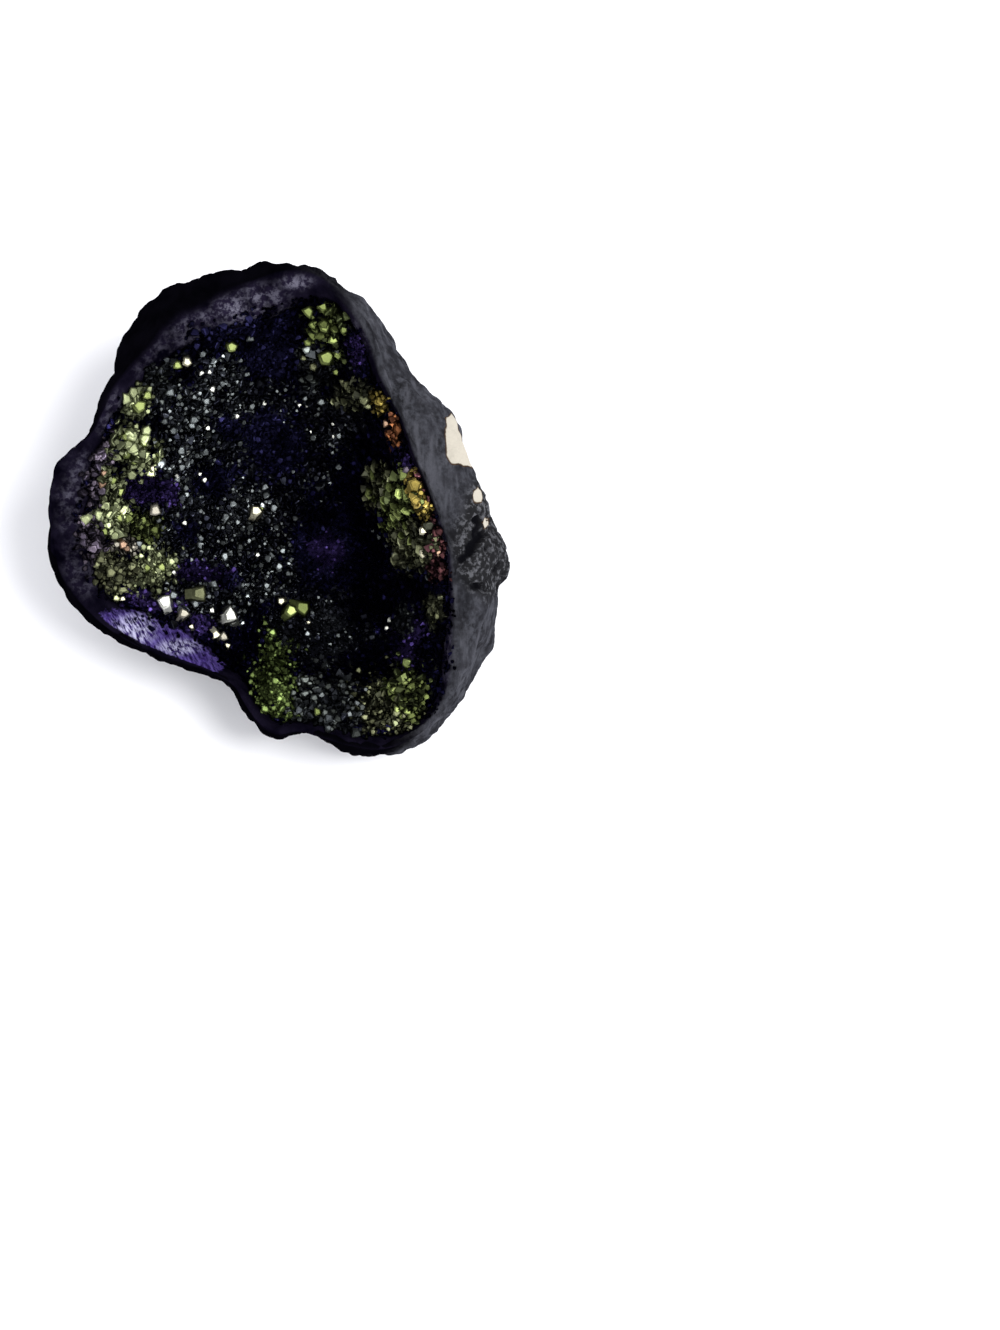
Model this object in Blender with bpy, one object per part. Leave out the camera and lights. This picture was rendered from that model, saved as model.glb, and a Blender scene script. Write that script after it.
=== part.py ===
"""Half of a druzy geode, a hollow stone nodule broken open and lined with small quartz crystals.

It lies on a small flat spot of its rounded back, with the open face up and leaning 15 degrees towards -Y.
The stone is two pieces that touch all over: the rind, which is the nodule's shell with its broken edge, and
the crust of crystals that lines the hollow.

The shape is set out face-on, as it is seen square to the open face: u to the right, v up the face, and w out
of the face towards the eye, all in millimetres. The whole nodule is then laid back into its resting frame,
x, y, z in metres with +Z up and the origin at the middle of the flat spot.
"""

import math

import bmesh
import bpy
import numpy as np
from mathutils.geometry import delaunay_2d_cdt

MM = 0.001

# Driving dimensions, in millimetres and degrees
LEAN = math.radians(15.0)  # how far the open face leans from level, towards -Y
SEAT = (-1.0, -1.0, -0.6)  # the point of the face-on frame that rests on the ground: the origin
SEAT_RADIUS = 10.0  # mean radius of the flat spot
HUB = (6.0, -4.0)  # the middle of the hollow, which every ring goes around
FLOOR = 9.5  # height of the hollow's floor at the hub
CRUST = 1.8  # from the rind's lining to the roots of the crystals, square to the wall
STEEPEST = 2.4  # where the wall stands steeply the crust hangs down it, at most by this many thicknesses
GAP = 0.3  # between the rind and the crust
LIP = 0.7  # how far the crust stops inside the rim
CRYSTAL_SPACING = 2.6  # between the tips of two neighbouring crystals
CRYSTAL_HEIGHT = (1.0, 2.2)  # lowest and tallest tip above its root
LINING_SPACING = 3.4  # between points of the smooth lining under the crust
AROUND = 90  # points in a ring
BAND_ROWS = 3  # rows across the broken edge
SHOULDER_ROWS = 5  # rows from the crest down to the widest ring
BACK_ROWS = 9  # rows from the widest ring down to the flat spot

# The widest ring of the nodule, which is its outline seen face-on: (u, v), clockwise from the top
OUTLINE = (
    (3.3, 40.0), (6.5, 39.3), (10.7, 37.0), (13.9, 35.9), (16.7, 32.1), (19.7, 26.9), (22.7, 21.0),
    (27.2, 18.3), (29.8, 15.2), (30.6, 9.8), (31.0, 4.9), (33.4, 1.0), (35.3, -4.1), (37.2, -8.5),
    (36.9, -10.3), (35.7, -12.3), (35.7, -16.4), (35.1, -21.7), (33.3, -24.7), (31.2, -28.7),
    (28.7, -32.5), (25.2, -37.0), (20.7, -39.5), (16.4, -40.3), (11.8, -39.7), (8.6, -37.7), (3.1, -35.7),
    (-1.3, -37.1), (-3.9, -34.8), (-6.6, -32.3), (-8.0, -29.6), (-13.3, -26.4), (-18.5, -24.4),
    (-23.5, -22.8), (-28.2, -20.6), (-33.0, -17.3), (-37.5, -11.3), (-38.0, -1.7), (-37.1, 3.2),
    (-35.6, 7.2), (-32.0, 12.6), (-29.2, 15.9), (-28.2, 20.5), (-27.6, 26.2), (-25.4, 30.7),
    (-21.9, 35.0), (-18.6, 37.8), (-15.4, 38.5), (-12.9, 39.9), (-7.6, 40.3), (-3.8, 41.6),
)
CREST = (
    (0.8, 39.6), (6.3, 38.8), (11.2, 34.9), (15.2, 30.0), (16.8, 25.0), (18.5, 20.0), (20.7, 15.5),
    (22.8, 10.0), (25.4, 3.3), (27.7, -2.5), (29.2, -8.3), (29.5, -14.9), (29.7, -23.0), (29.2, -28.9),
    (26.4, -33.3), (22.3, -36.8), (17.3, -38.8), (11.6, -38.3), (7.4, -37.1), (3.0, -36.0), (-1.0, -36.4),
    (-3.6, -34.5), (-5.8, -31.6), (-7.5, -28.7), (-10.7, -26.7), (-15.7, -24.8), (-21.5, -22.8),
    (-27.2, -19.8), (-32.2, -15.5), (-36.0, -10.2), (-37.0, -5.0), (-37.3, 0.0), (-36.5, 4.5),
    (-33.8, 8.7), (-31.0, 12.2), (-28.9, 16.2), (-26.7, 20.6), (-23.9, 23.9), (-20.6, 27.2),
    (-17.8, 30.8), (-13.2, 33.3), (-8.3, 36.0), (-3.3, 38.1),
)
# The mouth, where the broken edge ends and the crystals begin
MOUTH = (
    (3.3, 34.7), (8.3, 35.3), (11.2, 32.4), (13.8, 28.0), (15.5, 22.8), (17.6, 19.0), (19.8, 14.9),
    (21.5, 9.9), (23.8, 4.6), (25.7, -0.8), (27.3, -6.3), (27.7, -11.6), (27.4, -18.2), (26.9, -24.8),
    (25.6, -30.5), (22.8, -34.6), (18.2, -37.0), (13.2, -36.6), (8.3, -35.4), (3.3, -34.4), (-1.3, -34.2),
    (-4.2, -31.4), (-5.6, -28.9), (-9.0, -25.2), (-13.2, -21.8), (-18.0, -18.6), (-23.5, -16.2),
    (-28.3, -14.6), (-30.5, -10.7), (-31.7, -5.8), (-32.0, 0.0), (-31.7, 5.0), (-30.5, 9.9), (-28.4, 14.0),
    (-25.6, 18.2), (-22.8, 21.8), (-19.0, 25.2), (-14.9, 28.0), (-9.1, 30.5), (-3.0, 32.2),
)
# Heights and other measures that change slowly round the nodule: (degrees from +u towards +v, value)
WIDEST_HEIGHT = ((0, 19.0), (60, 20.0), (120, 21.0), (180, 21.5), (225, 21.0), (270, 20.5), (315, 19.0))
CREST_HEIGHT = (
    (0, 33.5), (30, 34.0), (65, 32.0), (100, 31.0), (130, 33.0), (155, 32.0), (180, 29.5), (205, 27.5),
    (225, 26.0), (248, 27.0), (275, 29.5), (310, 31.5), (335, 32.5),
)
MOUTH_DROP = (
    (0, 2.0), (60, 2.5), (110, 2.5), (150, 2.5), (185, 1.5), (212, 4.5), (235, 4.5), (260, 2.0), (310, 2.0),
)
WALL_STEEPNESS = ((0, 3.4), (60, 3.0), (100, 2.6), (140, 1.9), (180, 1.5), (225, 1.7), (270, 2.2), (320, 2.8))
SEAT_SHAPE = ((0, 1.10), (70, 0.90), (130, 1.08), (200, 0.92), (260, 1.05), (320, 0.95))

# Domes (+) and hollows (-) of the lining: u, v, radius, height
DOMES = (
    (-2.5, 11.5, 7.0, 4.0),
    (7.5, -6.5, 4.5, 2.5),
    (-20.5, 4.0, 5.5, 2.5),
    (-13.0, -10.5, 5.0, 3.0),
    (-24.0, -10.5, 5.0, 2.0),
    (-6.5, -6.0, 5.0, 2.0),
    (-10.5, 20.0, 6.5, 2.5),
    (-25.0, 11.0, 4.0, 2.0),
    (6.8, 30.5, 4.5, 4.0),
    (8.0, 23.5, 4.5, 3.0),
    (13.0, 19.0, 4.2, 6.5),
    (12.8, 27.0, 3.5, 3.5),
    (18.0, 13.0, 3.5, 5.0),
    (20.3, 2.0, 6.5, 8.5),
    (24.0, -6.0, 4.5, 6.5),
    (22.0, -20.0, 5.0, 5.0),
    (20.0, -31.0, 5.0, 4.5),
    (-1.5, -29.5, 5.0, 4.0),
    (8.0, -33.0, 4.5, 3.5),
    (10.0, 6.0, 6.0, -3.0),
    (13.0, -14.0, 6.5, -3.0),
    (-3.0, -18.5, 4.0, -2.5),
)

# Lumps of the rind: wavelength and height of each size of lump
LUMPS = ((16.0, 1.8), (8.0, 1.6), (4.5, 0.7))
DEEPEST_PIT = -0.8  # the lumps dip in no further than this
RIM_LUMPS = ((6.0, 0.6), (3.0, 0.35))
# Single knobs (+) and pits (-) of the rind: u, v, w, radius, height
KNOBS = (
    (37.0, -8.0, 20.0, 4.5, 1.2),
    (33.0, 7.0, 24.0, 3.5, -0.9),
    (35.0, -16.0, 14.0, 4.0, -1.2),
    (-22.0, 33.0, 24.0, 4.0, 0.9),
    (-36.0, 8.0, 20.0, 4.0, -1.0),
    (22.0, 22.0, 20.0, 4.0, -0.9),
    (30.0, -31.0, 22.0, 4.0, 0.9),
    (-12.0, -24.0, 16.0, 4.5, -1.0),
    (10.0, 34.0, 10.0, 5.0, 1.2),
)


def round_curve(stations, degrees):
    """The value at each angle of a smooth closed curve through (angle, value) stations.

    Between two stations it is a cubic whose slope at a station is that of the chord across its neighbours.
    """
    stations = np.array(stations, float)
    stations = stations[np.argsort(stations[:, 0])]
    turns = np.concatenate([stations - (360, 0), stations, stations + (360, 0)])
    at, value = turns.T
    slope = np.gradient(value, at)
    left = np.searchsorted(at, degrees, side="right") - 1
    span = at[left + 1] - at[left]
    t = (degrees - at[left]) / span
    rise = value[left + 1] - value[left]
    first = t * (1 - t) ** 2 * span * slope[left]
    last = -t * t * (1 - t) * span * slope[left + 1]
    return value[left] + rise * t * t * (3 - 2 * t) + first + last


def bearings(u, v):
    """Angle in degrees, 0 to 360, and distance of points from the hub."""
    du, dv = np.asarray(u, float) - HUB[0], np.asarray(v, float) - HUB[1]
    return np.degrees(np.arctan2(dv, du)) % 360.0, np.hypot(du, dv)


def ring_radius(landmarks, degrees):
    """Distance from the hub of the closed curve through (u, v) landmarks."""
    angle, distance = bearings(*np.array(landmarks).T)
    return round_curve(np.column_stack([angle, distance]), degrees)


def ring_points(landmarks, degrees, height, inset=0.0):
    """Face-on points of a ring, one for each angle, drawn in towards the hub by inset."""
    radius = ring_radius(landmarks, degrees) - inset
    turn = np.radians(degrees)
    return np.column_stack([HUB[0] + radius * np.cos(turn), HUB[1] + radius * np.sin(turn), height])


def laid_back(points):
    """Face-on points in the resting frame, still in millimetres."""
    u, v, w = (np.asarray(points, float) - SEAT).T
    y = v * math.cos(LEAN) - w * math.sin(LEAN)
    z = v * math.sin(LEAN) + w * math.cos(LEAN)
    return np.column_stack([u, y, z])


def lattice_noise(points, wavelength, seed):
    """Smooth noise from -1 to 1: random values on a cubic lattice, blended between the eight nearest."""
    values = np.random.default_rng(seed).uniform(-1, 1, (32, 32, 32))
    place = np.asarray(points, float) / wavelength
    cell = np.floor(place).astype(int)
    blend = place - cell
    blend = blend * blend * (3 - 2 * blend)
    total = np.zeros(len(place))
    for corner in np.ndindex(2, 2, 2):
        weight = np.prod(np.where(corner, blend, 1 - blend), axis=1)
        i, j, k = ((cell + corner) % 32).T
        total += weight * values[i, j, k]
    return total


def lumpy(points, sizes, seed):
    """Sum of noises, one for each (wavelength, height)."""
    return sum(height * lattice_noise(points, wave, seed + n) for n, (wave, height) in enumerate(sizes))


def smooth_step(x):
    """0 below 0, 1 above 1, and a smooth rise between."""
    x = np.clip(x, 0, 1)
    return x * x * (3 - 2 * x)


def cavity_height(u, v):
    """Height w of the crystals' roots: a bowl whose wall rises as a power of the distance from the hub.

    The power changes round the bowl, so that the left wall is a gentle slope and the right one is steep.
    Domes and hollows are added as bell shapes that fade out at the edge of the crust.
    """
    degrees, distance = bearings(u, v)
    share = np.clip(distance / (ring_radius(MOUTH, degrees) - LIP), 0, 1)
    mouth = round_curve(CREST_HEIGHT, degrees) - round_curve(MOUTH_DROP, degrees)
    height = FLOOR + (mouth - FLOOR) * share ** round_curve(WALL_STEEPNESS, degrees)
    inside = smooth_step((1 - share) / 0.07)
    for u0, v0, radius, rise in DOMES:
        height += inside * rise * np.exp(-((u - u0) ** 2 + (v - v0) ** 2) / (0.55 * radius**2))
    flat = np.column_stack([u, v, np.zeros_like(u)])
    return height + inside * lumpy(flat, ((8.0, 0.7), (4.0, 0.35)), seed=40)


def cavity_drop(u, v):
    """How far straight down the rind's lining lies under the crystals' roots, more where the wall is steep."""
    step = 0.4
    slope_u = (cavity_height(u + step, v) - cavity_height(u - step, v)) / (2 * step)
    slope_v = (cavity_height(u, v + step) - cavity_height(u, v - step)) / (2 * step)
    return CRUST * np.minimum(np.sqrt(1 + slope_u**2 + slope_v**2), STEEPEST)


def outer_rings(degrees):
    """Rows of resting-frame points from the mouth over the crest, round the back and in to the flat spot."""
    mouth_height = round_curve(CREST_HEIGHT, degrees) - round_curve(MOUTH_DROP, degrees)
    mouth = ring_points(MOUTH, degrees, mouth_height)
    crest = ring_points(CREST, degrees, round_curve(CREST_HEIGHT, degrees))
    crest[:, 2] += lumpy(crest, RIM_LUMPS, seed=20)
    widest = laid_back(ring_points(OUTLINE, degrees, round_curve(WIDEST_HEIGHT, degrees)))
    turn = np.radians(degrees)
    seat_radius = SEAT_RADIUS * round_curve(SEAT_SHAPE, degrees)
    seat = np.column_stack([seat_radius * np.cos(turn), seat_radius * np.sin(turn), np.zeros_like(turn)])

    rows = []
    for n in range(BAND_ROWS):
        t = n / BAND_ROWS
        row = mouth + (crest - mouth) * t
        row[:, 2] += math.sin(math.pi * t) * (0.5 + lumpy(row, RIM_LUMPS, seed=24))
        rows.append(laid_back(row))
    crest = laid_back(crest)
    for n in range(SHOULDER_ROWS):
        t = math.pi / 2 * n / SHOULDER_ROWS
        row = widest + (crest - widest) * (1 - math.sin(t))
        row[:, 2] = widest[:, 2] + (crest[:, 2] - widest[:, 2]) * math.cos(t)
        rows.append(row)
    for n in range(BACK_ROWS + 1):
        t = math.pi / 2 * n / BACK_ROWS
        row = seat + (widest - seat) * math.cos(t)
        row[:, 2] = widest[:, 2] * (1 - math.sin(t))
        rows.append(row)
    return np.array(rows)


def with_lumps(rows):
    """The rind below the crest pushed in and out along its normals, and left alone at the flat spot."""
    down = np.gradient(rows, axis=0)
    along = (np.roll(rows, -1, axis=1) - np.roll(rows, 1, axis=1)) / 2
    normal = np.cross(down, along)
    normal /= np.linalg.norm(normal, axis=2, keepdims=True) + 1e-9
    points = rows.reshape(-1, 3)
    push = np.maximum(lumpy(points, LUMPS, seed=1), DEEPEST_PIT)
    for u, v, w, radius, height in KNOBS:
        away = points - laid_back([(u, v, w)])
        push += height * np.exp(-(away**2).sum(axis=1) / (0.55 * radius**2))
    push = push.reshape(rows.shape[:2]) * smooth_step(rows[:, :, 2] / 7.0)
    steps_from_widest = np.arange(len(rows)) - BAND_ROWS - SHOULDER_ROWS
    push *= 1 - 0.65 * np.exp(-((steps_from_widest[:, None] / 1.2) ** 2))
    push[: BAND_ROWS + 1] = 0
    push[BAND_ROWS + 1] *= 0.5
    return rows + normal * push[:, :, None]


def triangulated(boundary, points):
    """Triangles that fill the (u, v) boundary and use the points: (their points, faces, boundary order)."""
    count = len(boundary)
    coordinates = [tuple(p) for p in np.concatenate([boundary, points])]
    outline = [list(range(count))]
    found, _, faces, origin, _, _ = delaunay_2d_cdt(coordinates, [], outline, 1, 1e-6)
    rim = {from_input[0]: n for n, from_input in enumerate(origin) if from_input and from_input[0] < count}
    return np.array([tuple(p) for p in found]), faces, [rim[n] for n in range(count)]


def lattice(spacing, boundary_angles, boundary_radius, margin, jitter, seed):
    """A jittered triangular lattice inside the ring, and which of its points are tips.

    Every third point is the middle of a hexagon of the others: these are the tips of crystals.
    """
    random = np.random.default_rng(seed)
    reach = int(90 / spacing)
    i, j = (k.ravel() for k in np.meshgrid(np.arange(-reach, reach), np.arange(-reach, reach)))
    u = HUB[0] + spacing * (i + 0.5 * j)
    v = HUB[1] + spacing * math.sqrt(0.75) * j
    u = u + random.uniform(-jitter, jitter, u.shape) * spacing
    v = v + random.uniform(-jitter, jitter, v.shape) * spacing
    degrees, distance = bearings(u, v)
    radius = np.interp(degrees, boundary_angles, boundary_radius, period=360)
    keep = distance < radius - margin
    return np.column_stack([u, v])[keep], ((i - j) % 3 == 0)[keep]


def add_face(mesh, corners):
    """A face from the corners, each listed once."""
    unique = list(dict.fromkeys(corners))
    if len(unique) > 2:
        mesh.faces.new(unique)


def add_strip(mesh, upper, lower):
    """Quads between two closed rings of vertices."""
    for n in range(len(upper)):
        after = (n + 1) % len(upper)
        add_face(mesh, (upper[n], upper[after], lower[after], lower[n]))


def add_ring(mesh, points):
    """Vertices at resting-frame points given in millimetres."""
    return [mesh.verts.new(tuple(p * MM)) for p in points]


def add_filling(mesh, ring, boundary, points, heights):
    """The triangulated surface inside a ring that is already in the mesh. heights gives w for (u, v) pairs."""
    flat, faces, rim = triangulated(boundary, points)
    raised = laid_back(np.column_stack([flat, heights(flat)]))
    vertices = [None] * len(flat)
    for n, index in enumerate(rim):
        vertices[index] = ring[n]
    for n, place in enumerate(raised):
        if vertices[n] is None:
            vertices[n] = mesh.verts.new(tuple(place * MM))
    for face in faces:
        add_face(mesh, [vertices[n] for n in face])


def finished(mesh, name, colour, roughness):
    """The closed mesh as an object, with its own material."""
    bmesh.ops.triangulate(mesh, faces=[f for f in mesh.faces if len(f.verts) == 4])
    bmesh.ops.recalc_face_normals(mesh, faces=mesh.faces)
    if mesh.calc_volume(signed=True) < 0:
        bmesh.ops.reverse_faces(mesh, faces=mesh.faces)
    data = bpy.data.meshes.new(name)
    mesh.to_mesh(data)
    mesh.free()
    material = bpy.data.materials.new(name)
    material.use_nodes = True
    shader = material.node_tree.nodes["Principled BSDF"]
    shader.inputs["Base Color"].default_value = (*colour, 1.0)
    shader.inputs["Roughness"].default_value = roughness
    data.materials.append(material)
    thing = bpy.data.objects.new(name, data)
    bpy.context.scene.collection.objects.link(thing)
    return thing


def lining_edge(degrees):
    """Where the crust stops: its (u, v) ring, and the ring's distance from the hub."""
    ring = ring_points(MOUTH, degrees, np.zeros_like(degrees), inset=LIP)
    return ring[:, :2], ring_radius(MOUTH, degrees) - LIP


def lining_height(uv):
    """Height of the rind's smooth lining, one crust's thickness under the crystals' roots."""
    return cavity_height(uv[:, 0], uv[:, 1]) - cavity_drop(uv[:, 0], uv[:, 1])


def make_rind(degrees):
    """The shell of the nodule: back, shoulders, broken edge, and the smooth lining under the crust."""
    mesh = bmesh.new()
    rings = [add_ring(mesh, row) for row in with_lumps(outer_rings(degrees))]
    for upper, lower in zip(rings, rings[1:]):
        add_strip(mesh, upper, lower)
    mesh.faces.new(rings[-1])

    edge, radius = lining_edge(degrees)
    lip = add_ring(mesh, laid_back(np.column_stack([edge, lining_height(edge)])))
    add_strip(mesh, lip, rings[0])
    points, _ = lattice(LINING_SPACING, degrees, radius, 0.6 * LINING_SPACING, 0.1, seed=5)
    add_filling(mesh, lip, edge, points, lining_height)
    return finished(mesh, "rind", (0.07, 0.07, 0.08), roughness=0.85)


def make_crystal_crust(degrees):
    """The crust of crystals: a layer of even thickness whose face is all six-sided points."""
    mesh = bmesh.new()
    edge, radius = lining_edge(degrees)
    under = add_ring(mesh, laid_back(np.column_stack([edge, lining_height(edge) + GAP])))
    over = add_ring(mesh, laid_back(np.column_stack([edge, cavity_height(*edge.T) - GAP])))
    add_strip(mesh, under, over)
    points, _ = lattice(LINING_SPACING, degrees, radius, 0.6 * LINING_SPACING, 0.1, seed=5)
    add_filling(mesh, under, edge, points, lambda uv: lining_height(uv) + GAP)

    cell = CRYSTAL_SPACING / math.sqrt(3)
    points, is_tip = lattice(cell, degrees, radius, 0.55 * cell, 0.2, seed=6)
    random = np.random.default_rng(7)
    rise = np.where(is_tip, random.uniform(*CRYSTAL_HEIGHT, len(points)), 0.0)
    tips = {tuple(np.round(p, 5)): h for p, h in zip(points, rise)}

    def crystal_height(uv):
        taller = np.array([tips.get(tuple(np.round(p, 5)), 0.0) for p in uv])
        return cavity_height(uv[:, 0], uv[:, 1]) + taller

    add_filling(mesh, over, edge, points, crystal_height)
    return finished(mesh, "crystal_crust", (0.03, 0.02, 0.07), roughness=0.25)


def main():
    for thing in list(bpy.data.objects):
        bpy.data.objects.remove(thing)
    degrees = np.arange(AROUND) * 360.0 / AROUND
    make_rind(degrees)
    make_crystal_crust(degrees)


main()
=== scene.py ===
"""Half of a druzy geode lying face up on a pale table: its stone rind, and the crystals that line its hollow.

Sizes are in millimetres and set out face-on, square to the geode's open face: u to the right, v up the face
and w out of it. The face leans 15 degrees from level. The origin is the middle of the flat spot that the
geode rests on.
"""

import math

import bpy
import numpy as np
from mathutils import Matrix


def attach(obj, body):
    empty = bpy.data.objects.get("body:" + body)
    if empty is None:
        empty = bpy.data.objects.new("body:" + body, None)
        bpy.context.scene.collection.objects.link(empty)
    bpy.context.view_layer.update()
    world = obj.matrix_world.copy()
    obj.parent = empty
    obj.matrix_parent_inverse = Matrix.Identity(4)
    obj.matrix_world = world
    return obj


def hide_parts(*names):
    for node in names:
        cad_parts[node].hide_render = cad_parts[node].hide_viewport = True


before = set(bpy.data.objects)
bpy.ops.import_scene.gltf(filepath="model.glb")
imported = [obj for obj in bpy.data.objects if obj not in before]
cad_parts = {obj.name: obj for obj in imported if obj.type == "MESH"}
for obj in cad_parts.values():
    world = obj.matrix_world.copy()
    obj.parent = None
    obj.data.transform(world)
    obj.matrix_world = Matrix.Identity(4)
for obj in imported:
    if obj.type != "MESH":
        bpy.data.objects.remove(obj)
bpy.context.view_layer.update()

# Camera, table and light.
# The camera looks straight at the open face. The table is matt and pale. One soft lamp stands high on the
# right, and the room is dim overhead and pale round the horizon.

LEAN = math.radians(15.0)
SEAT = (-1.0, -1.0, -0.6)
AIM = (36.3, -25.0, 24.0)
CAMERA_DISTANCE = 613.0
KEY_AZIMUTH = math.radians(-15.0)
KEY_ELEVATION = math.radians(62.0)


def laid_back(points):
    """Face-on points in the resting frame.

    They are moved so that the seat is the origin, and then turned about u by the lean.
    """
    u, v, w = (np.asarray(points, float) - SEAT).T
    y = v * math.cos(LEAN) - w * math.sin(LEAN)
    z = v * math.sin(LEAN) + w * math.cos(LEAN)
    return np.column_stack([u, y, z])


camera_data = bpy.data.cameras.new("camera")
camera_data.lens = 100.0
camera_data.sensor_width = 36.0
camera_data.clip_start = 0.01
camera = bpy.data.objects.new("camera", camera_data)
camera.location = laid_back([(AIM[0], AIM[1], AIM[2] + CAMERA_DISTANCE)])[0] * 0.001
camera.rotation_euler = (LEAN, 0.0, 0.0)
bpy.context.scene.collection.objects.link(camera)
bpy.context.scene.camera = camera
bpy.context.scene.view_settings.view_transform = "Standard"


def add_node(tree, kind, inputs=(), **settings):
    """A shader node. inputs pairs each socket with a plain value or with the output that feeds it."""
    node = tree.nodes.new(kind)
    for name, value in settings.items():
        setattr(node, name, value)
    for socket, value in inputs:
        if isinstance(value, bpy.types.NodeSocket):
            tree.links.new(value, node.inputs[socket])
        else:
            node.inputs[socket].default_value = value
    return node


def new_material(name):
    """A material with a Principled shader: (material, its node tree, the shader)."""
    material = bpy.data.materials.new(name)
    material.use_nodes = True
    return material, material.node_tree, material.node_tree.nodes["Principled BSDF"]


def new_piece(name, points, faces, material, smooth):
    """An object from resting-frame points in millimetres and faces given by their corners."""
    mesh = bpy.data.meshes.new(name)
    mesh.from_pydata((points * 0.001).tolist(), [], faces)
    mesh.polygons.foreach_set("use_smooth", np.full(len(faces), smooth))
    mesh.materials.append(material)
    piece = bpy.data.objects.new(name, mesh)
    bpy.context.scene.collection.objects.link(piece)
    return piece


table_paint, tree, shader = new_material("matt_table")
shader.inputs["Base Color"].default_value = (0.86, 0.86, 0.87, 1.0)
shader.inputs["Roughness"].default_value = 0.9
corners = np.array([(-2500.0, -2500, 0), (2500, -2500, 0), (2500, 2500, 0), (-2500, 2500, 0)])
table = new_piece("table", corners, [(0, 1, 2, 3)], table_paint, smooth=False)

lamp_data = bpy.data.lights.new("key_lamp", "SUN")
lamp_data.energy = 2.5
lamp_data.angle = math.radians(24.0)
lamp = bpy.data.objects.new("key_lamp", lamp_data)
lamp.rotation_euler = (0.0, math.pi / 2 - KEY_ELEVATION, KEY_AZIMUTH)
bpy.context.scene.collection.objects.link(lamp)

world = bpy.data.worlds.new("studio")
world.use_nodes = True
bpy.context.scene.world = world
tree = world.node_tree
way = add_node(tree, "ShaderNodeTexCoord")
height = add_node(tree, "ShaderNodeSeparateXYZ", [(0, way.outputs["Generated"])])
room = add_node(tree, "ShaderNodeValToRGB", [(0, height.outputs["Z"])])
room.color_ramp.elements[0].position = 0.40
room.color_ramp.elements[0].color = (0.95, 0.96, 1.0, 1.0)
room.color_ramp.elements[1].position = 0.75
room.color_ramp.elements[1].color = (0.18, 0.18, 0.19, 1.0)
tree.nodes["Background"].inputs["Strength"].default_value = 2.7
tree.links.new(room.outputs["Color"], tree.nodes["Background"].inputs["Color"])

# The rind.
# The nodule's shell of dark, weathered volcanic stone, grown as one piece. Its back is rounded and lumpy, and
# where it was broken open it has a rough edge, with a streaky violet fracture on the lower left.

HUB = (6.0, -4.0)
FLOOR = 9.5
LIP = 0.7
SEAT_RADIUS = 10.0
AROUND = 700
LINING_ROWS = 10
BAND_ROWS = 16
SHOULDER_ROWS = 32
BACK_ROWS = 34

# Landmarks (u, v) of the outline, of the crest and of the mouth, closed curves round the hub
OUTLINE = (
    (3.3, 40.0), (6.5, 39.3), (10.7, 37.0), (13.9, 35.9), (16.7, 32.1), (19.7, 26.9), (22.7, 21.0),
    (27.2, 18.3), (29.8, 15.2), (30.6, 9.8), (31.0, 4.9), (33.4, 1.0), (35.3, -4.1), (37.2, -8.5),
    (36.9, -10.3), (35.7, -12.3), (35.7, -16.4), (35.1, -21.7), (33.3, -24.7), (31.2, -28.7),
    (28.7, -32.5), (25.2, -37.0), (20.7, -39.5), (16.4, -40.3), (11.8, -39.7), (8.6, -37.7), (3.1, -35.7),
    (-1.3, -37.1), (-3.9, -34.8), (-6.6, -32.3), (-8.0, -29.6), (-13.3, -26.4), (-18.5, -24.4),
    (-23.5, -22.8), (-28.2, -20.6), (-33.0, -17.3), (-37.5, -11.3), (-38.0, -1.7), (-37.1, 3.2),
    (-35.6, 7.2), (-32.0, 12.6), (-29.2, 15.9), (-28.2, 20.5), (-27.6, 26.2), (-25.4, 30.7),
    (-21.9, 35.0), (-18.6, 37.8), (-15.4, 38.5), (-12.9, 39.9), (-7.6, 40.3), (-3.8, 41.6),
)
CREST = (
    (0.8, 39.6), (6.3, 38.8), (11.2, 34.9), (15.2, 30.0), (16.8, 25.0), (18.5, 20.0), (20.7, 15.5),
    (22.8, 10.0), (25.4, 3.3), (27.7, -2.5), (29.2, -8.3), (29.5, -14.9), (29.7, -23.0), (29.2, -28.9),
    (26.4, -33.3), (22.3, -36.8), (17.3, -38.8), (11.6, -38.3), (7.4, -37.1), (3.0, -36.0), (-1.0, -36.4),
    (-3.6, -34.5), (-5.8, -31.6), (-7.5, -28.7), (-10.7, -26.7), (-15.7, -24.8), (-21.5, -22.8),
    (-27.2, -19.8), (-32.2, -15.5), (-36.0, -10.2), (-37.0, -5.0), (-37.3, 0.0), (-36.5, 4.5),
    (-33.8, 8.7), (-31.0, 12.2), (-28.9, 16.2), (-26.7, 20.6), (-23.9, 23.9), (-20.6, 27.2),
    (-17.8, 30.8), (-13.2, 33.3), (-8.3, 36.0), (-3.3, 38.1),
)
MOUTH = (
    (3.3, 34.7), (8.3, 35.3), (11.2, 32.4), (13.8, 28.0), (15.5, 22.8), (17.6, 19.0), (19.8, 14.9),
    (21.5, 9.9), (23.8, 4.6), (25.7, -0.8), (27.3, -6.3), (27.7, -11.6), (27.4, -18.2), (26.9, -24.8),
    (25.6, -30.5), (22.8, -34.6), (18.2, -37.0), (13.2, -36.6), (8.3, -35.4), (3.3, -34.4), (-1.3, -34.2),
    (-4.2, -31.4), (-5.6, -28.9), (-9.0, -25.2), (-13.2, -21.8), (-18.0, -18.6), (-23.5, -16.2),
    (-28.3, -14.6), (-30.5, -10.7), (-31.7, -5.8), (-32.0, 0.0), (-31.7, 5.0), (-30.5, 9.9), (-28.4, 14.0),
    (-25.6, 18.2), (-22.8, 21.8), (-19.0, 25.2), (-14.9, 28.0), (-9.1, 30.5), (-3.0, 32.2),
)
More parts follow.
